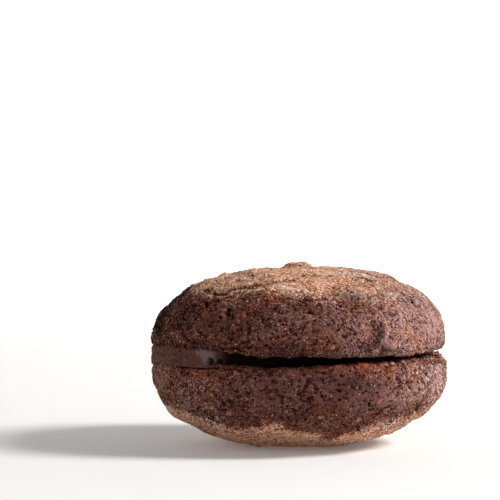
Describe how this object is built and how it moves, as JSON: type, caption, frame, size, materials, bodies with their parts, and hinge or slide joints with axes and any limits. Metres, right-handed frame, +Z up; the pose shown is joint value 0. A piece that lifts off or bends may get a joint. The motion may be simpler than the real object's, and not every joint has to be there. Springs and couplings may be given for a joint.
{
  "type": "filled chocolate amaretti biscuit",
  "caption": "Round chocolate amaretti sandwich biscuit: a domed crumbly biscuit above and below a wedge of chocolate cream.",
  "frame": {"origin": "under the middle of the biscuit pair, on the surface that it stands on", "axes": "+Z up through both domes; +X to the right, where the seam is pinched; -Y is the front, the side that the picture shows; the cream is squeezed out at -X"},
  "size_m": [0.0458, 0.0448, 0.0278],
  "materials": {
    "dough": "matte",
    "cream": "satin"
  },
  "bodies": {
    "root": {"biscuit_lower": "dough", "cream_filling": "cream", "biscuit_upper": "dough"}
  },
  "joints": []
}
